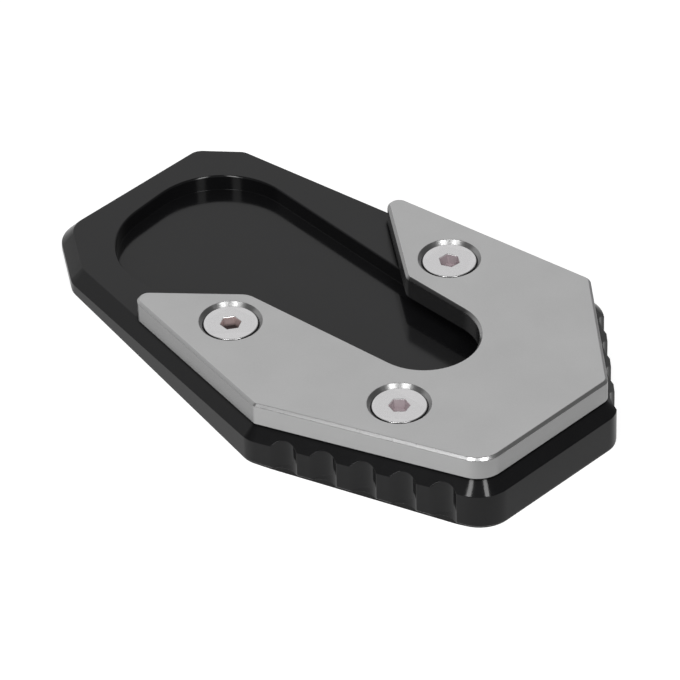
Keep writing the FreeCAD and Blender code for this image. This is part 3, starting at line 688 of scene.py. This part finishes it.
class ENLARGER_OT_screws(bpy.types.Operator):
    """Finish the three screws: threads, turned heads and punched sockets"""

    bl_idname = "enlarger.screws"
    bl_label = "Screws"

    def execute(self, context):
        look = context.scene.enlarger_finish
        sizes = context.scene.enlarger_sizes
        steel = screw_steel("turned_stainless_steel", look.steel, HEAD_GLOSS)
        # The sockets differ a little in colour and metal share, and the front toe screw's socket has
        # painted shade towards its bottom
        sockets = {
            "front_toe_screw": screw_steel(
                "shaded_socket_steel", look.socket, SOCKET_GLOSS, metallic=0.3, depth_shade=0.12),
            "rear_screw": screw_steel(
                "punched_socket_steel", look.clean_socket, SOCKET_GLOSS, metallic=0.2),
            "front_heel_screw": screw_steel(
                "clean_socket_steel", look.clean_socket, SOCKET_GLOSS, metallic=0.0)}
        # Painted shade on the heads' upright flank, for the gap round each head
        flank = screw_steel("shaded_flank_steel", look.flank, FLANK_GLOSS)
        tree = thread_tree()
        for node in SCREWS:
            self.make_screw(node, sizes, tree, {HEAD: steel, SOCKET: sockets[node], FLANK: flank})
        return {"FINISHED"}

    @staticmethod
    def make_screw(node, sizes, tree, materials):
        """Finish one screw in a frame of its own, with z along its axis, and set it back in its place."""
        placement = screw_frame(node)
        skin = welded(node)
        skin.transform(placement.inverted())
        tip = min(vertex.co.z for vertex in skin.verts)
        shank = max(from_axis(vertex.co) for vertex in skin.verts if vertex.co.z < tip / 2)
        core = shank - sizes.thread_root
        mark_head(skin)
        narrow_shank(skin, shank, core, tip)
        mouth = [edge for edge in skin.edges if edge.is_convex and all(
            vertex.co.z > TOP_SKIN and from_axis(vertex.co) < SOCKET_REACH for vertex in edge.verts)]
        round_edges(skin, mouth, sizes.socket_edge)
        break_edges(skin, sizes.screw_edge)
        length = core_length(skin, core, tip) - sizes.thread_pitch
        lowest = Matrix.Translation((0, 0, tip + THREAD_START * sizes.thread_pitch))
        add_thread(skin, tree, sizes, core, length, start=lowest, inward=False, material=materials[HEAD])
        write_radius_height(skin)
        skin.transform(placement)
        make_piece(skin, f"{node}_steel", node, materials.values())


def mark_head(skin):
    """Give the socket's walls and floor, and the head's upright flank, finishes of their own."""
    for face in skin.faces:
        face.material_index = HEAD
        if SOCKET_BOTTOM < face.calc_center_median().z < TOP_SKIN:
            if all(from_axis(vertex.co) < SOCKET_REACH for vertex in face.verts):
                face.material_index = SOCKET
            elif abs(face.normal.z) < UPRIGHT:
                face.material_index = FLANK


def narrow_shank(skin, shank, core, tip):
    """Bring the plain shank down to the thread's core."""
    for vertex in skin.verts:
        radius = from_axis(vertex.co)
        if abs(radius - shank) < ON_SHANK and vertex.co.z > tip:
            vertex.co.x *= core / radius
            vertex.co.y *= core / radius


def core_length(skin, core, tip):
    """Length of the straight core above the tip."""
    straight = [vertex.co.z for vertex in skin.verts
                if abs(from_axis(vertex.co) - core) < ON_CORE and vertex.co.z < UNDER_HEAD]
    return max(straight) - tip


def write_radius_height(skin):
    """Map for the turning rings: radius and height of each corner, in millimetres."""
    layer = skin.loops.layers.uv.new("radius_height")
    for face in skin.faces:
        for corner in face.loops:
            place = corner.vert.co
            corner[layer].uv = (from_axis(place) / MM, place.z / MM)


class ENLARGER_OT_stage(bpy.types.Operator):
    """Set up the white floor, the two softboxes, the studio's walls and the camera"""

    bl_idname = "enlarger.stage"
    bl_label = "Stage"

    def execute(self, context):
        studio = context.scene.enlarger_studio
        make_floor()
        make_softbox("left_softbox", studio, -studio.softbox_aside)
        make_softbox("right_softbox", studio, studio.softbox_aside)
        make_world(context.scene)
        make_camera(context.scene, studio)
        context.scene.view_settings.view_transform = "Standard"
        return {"FINISHED"}


def contact_outline():
    """Corners of the base's outline where it stands, straight across its scallops and a little wider."""
    flat = [Vector((foot.x, foot.y)) for foot in corners_of("base_plate") if foot.z < FOOT_HEIGHT]
    hull = [flat[at] for at in convex_hull_2d(flat)]
    if sum(a.x * b.y - b.x * a.y for a, b in zip(hull, hull[1:] + hull[:1])) < 0:
        hull.reverse()
    wider = []
    for before, corner, after in zip(hull[-1:] + hull[:-1], hull, hull[1:] + hull[:1]):
        outward = Vector()
        for run in (corner - before, after - corner):
            outward += Vector((run.y, -run.x)).normalized().to_3d()
        wider.append(corner + outward.normalized().to_2d() * SHADOW_SPREAD)
    return wider


def glowing_paper(name, colour, to_camera, to_gloss):
    """White paper that also glows, at one level in the picture and at another in reflections.

    The second level is painted shade: it falls to less than half towards the heel end, away from the
    studio's pale walls, and nearly to nothing behind the part.
    """
    material, tree, surface = new_material(name)
    fill(surface, {"Base Color": rgba(colour), "Roughness": 0.9, "Specular IOR Level": 0.0})
    rays = add_node(tree, "ShaderNodeLightPath").outputs
    glow = add_node(tree, "ShaderNodeMath", {
        0: rays["Is Camera Ray"], 1: to_camera}, operation="MULTIPLY")
    place = add_node(tree, "ShaderNodeTexCoord").outputs["Object"]
    along = add_node(tree, "ShaderNodeSeparateXYZ", {0: place}).outputs
    start, end, share = HEEL_FADE
    beside = add_node(tree, "ShaderNodeMapRange", {
        "Value": along["X"], "From Min": start, "From Max": end, "To Min": to_gloss,
        "To Max": share * to_gloss})
    start, end, share = BACK_FADE
    behind = add_node(tree, "ShaderNodeMapRange", {
        "Value": along["Y"], "From Min": start, "From Max": end, "To Min": 1.0, "To Max": share})
    level = add_node(tree, "ShaderNodeMath", {0: beside, 1: behind}, operation="MULTIPLY")
    for ray in ("Is Glossy Ray", "Is Transmission Ray"):
        glow = add_node(tree, "ShaderNodeMath", {
            0: rays[ray], 1: level, 2: glow}, operation="MULTIPLY_ADD")
    light = add_node(tree, "ShaderNodeEmission", {"Strength": glow})
    both = add_node(tree, "ShaderNodeAddShader", {0: surface, 1: light})
    fill(tree.nodes["Material Output"], {"Surface": both})
    return material


def make_floor():
    """White paper that reads as white in the picture, with the dark contact under the part."""
    square = [(-1, -1), (1, -1), (1, 1), (-1, 1)]
    paper = [(x * FLOOR_HALF, y * FLOOR_HALF, -FLOOR_DROP) for x, y in square]
    contact = [(point.x, point.y, -SHADOW_DROP) for point in contact_outline()]
    places = range(len(paper) + len(contact))
    mesh = bpy.data.meshes.new("floor")
    mesh.from_pydata(paper + contact, [], [places[:len(paper)], places[len(paper):]])
    mesh.materials.append(glowing_paper(
        "white_paper_floor", linear("#b0b0b0"), to_camera=0.82, to_gloss=0.42))
    mesh.materials.append(glowing_paper(
        "paper_in_contact_shadow", linear("#000000"), to_camera=0.026, to_gloss=0.6))
    mesh.polygons[1].material_index = 1
    floor = add_object("floor", mesh)


def make_softbox(name, studio, aside):
    """Strip softbox beside the camera, above its line of sight."""
    lamp = bpy.data.lights.new(name, "AREA")
    lamp.shape = "RECTANGLE"
    lamp.size, lamp.size_y = studio.softbox_size
    lamp.energy = studio.softbox * math.pi * lamp.size * lamp.size_y
    box = add_object(name, lamp)
    back = direction(studio.azimuth + aside, studio.softbox_height)
    box.location = back * SOFTBOX_REACH
    box.rotation_mode = "QUATERNION"
    box.rotation_quaternion = (-back).to_track_quat("-Z", "Y")
    box.visible_camera = False


def set_levels(ramp, stops):
    """Set a grey ramp's levels at the given places, the last of which is its end."""
    while len(ramp.elements) < len(stops):
        ramp.elements.new(0.5)
    for point, (at, level) in zip(ramp.elements, stops):
        point.position = at / stops[-1][0]
        point.color = (level, level, level, 1.0)


def make_world(scene):
    """White to the camera; to all else a studio with pale walls behind and left, under a dark ceiling."""
    world = bpy.data.worlds.new("studio")
    world.use_nodes = True
    tree = world.node_tree
    towards = add_node(tree, "ShaderNodeTexCoord").outputs["Generated"]
    axes = add_node(tree, "ShaderNodeSeparateXYZ", {0: towards}).outputs
    back = add_node(tree, "ShaderNodeMath", {0: axes["Y"], 1: -1.0}, operation="MULTIPLY")
    around = add_node(tree, "ShaderNodeMath", {0: axes["X"], 1: back}, operation="ARCTAN2")
    turn = add_node(tree, "ShaderNodeMapRange", {
        "Value": around, "From Min": -math.pi, "From Max": math.pi})
    walls = add_node(tree, "ShaderNodeValToRGB", {0: turn})
    set_levels(walls.color_ramp, STUDIO_WALLS)
    rise = add_node(tree, "ShaderNodeMath", {0: axes["Z"]}, operation="ARCSINE")
    height = add_node(tree, "ShaderNodeMapRange", {"Value": rise, "From Max": math.pi / 2})
    ceiling = add_node(tree, "ShaderNodeValToRGB", {0: height})
    set_levels(ceiling.color_ramp, STUDIO_HEIGHTS)
    room = add_node(tree, "ShaderNodeMix", {
        "Factor": 1.0, "A": walls, "B": ceiling}, data_type="RGBA", blend_type="MULTIPLY")
    rays = add_node(tree, "ShaderNodeLightPath").outputs
    shown = add_node(tree, "ShaderNodeMix", {
        "Factor": rays["Is Camera Ray"], "A": room, "B": (1, 1, 1, 1)}, data_type="RGBA")
    fill(tree.nodes["Background"], {"Color": shown, "Strength": 1.0})
    scene.world = world


def make_camera(scene, studio):
    """Camera at the photograph's place, height, lean and focal length."""
    lens = bpy.data.cameras.new("camera")
    lens.sensor_width = SENSOR_WIDTH
    lens.lens = studio.lens
    camera = add_object("camera", lens)
    back = direction(studio.azimuth, studio.elevation)
    level = Vector((math.cos(studio.azimuth), math.sin(studio.azimuth), 0))
    upward = back.cross(level)
    right = level * math.cos(studio.roll) + upward * math.sin(studio.roll)
    turn = Matrix((right, back.cross(right), back)).transposed().to_4x4()
    camera.matrix_world = Matrix.Translation(Vector(studio.aim) + back * studio.distance) @ turn
    scene.camera = camera


class ENLARGER_PT_panel(bpy.types.Panel):
    """Lists the steps that finish the part"""

    bl_idname = "ENLARGER_PT_panel"
    bl_label = "Kickstand foot enlarger"
    bl_space_type = "VIEW_3D"
    bl_region_type = "UI"
    bl_category = "Enlarger"

    def draw(self, context):
        for operator in OPERATORS:
            self.layout.operator(operator.bl_idname)
        for group in GROUPS:
            settings = getattr(context.scene, group)
            for name in settings.__annotations__:
                self.layout.prop(settings, name)


OPERATORS = [ENLARGER_OT_base_plate, ENLARGER_OT_clamp_plate, ENLARGER_OT_screws, ENLARGER_OT_stage]
GROUPS = {
    "enlarger_finish": EnlargerFinish,
    "enlarger_sizes": EnlargerSizes,
    "enlarger_studio": EnlargerStudio,
}


def register():
    for group in [*GROUPS.values(), *OPERATORS, ENLARGER_PT_panel]:
        bpy.utils.register_class(group)
    for name, group in GROUPS.items():
        setattr(bpy.types.Scene, name, bpy.props.PointerProperty(type=group))


def unregister():
    for name in GROUPS:
        delattr(bpy.types.Scene, name)
    for group in reversed([*GROUPS.values(), *OPERATORS, ENLARGER_PT_panel]):
        bpy.utils.unregister_class(group)


def main():
    register()
    bpy.ops.enlarger.base_plate()
    bpy.ops.enlarger.clamp_plate()
    bpy.ops.enlarger.screws()
    bpy.ops.enlarger.stage()
    bpy.context.view_layer.update()


if __name__ == "__main__":
    main()
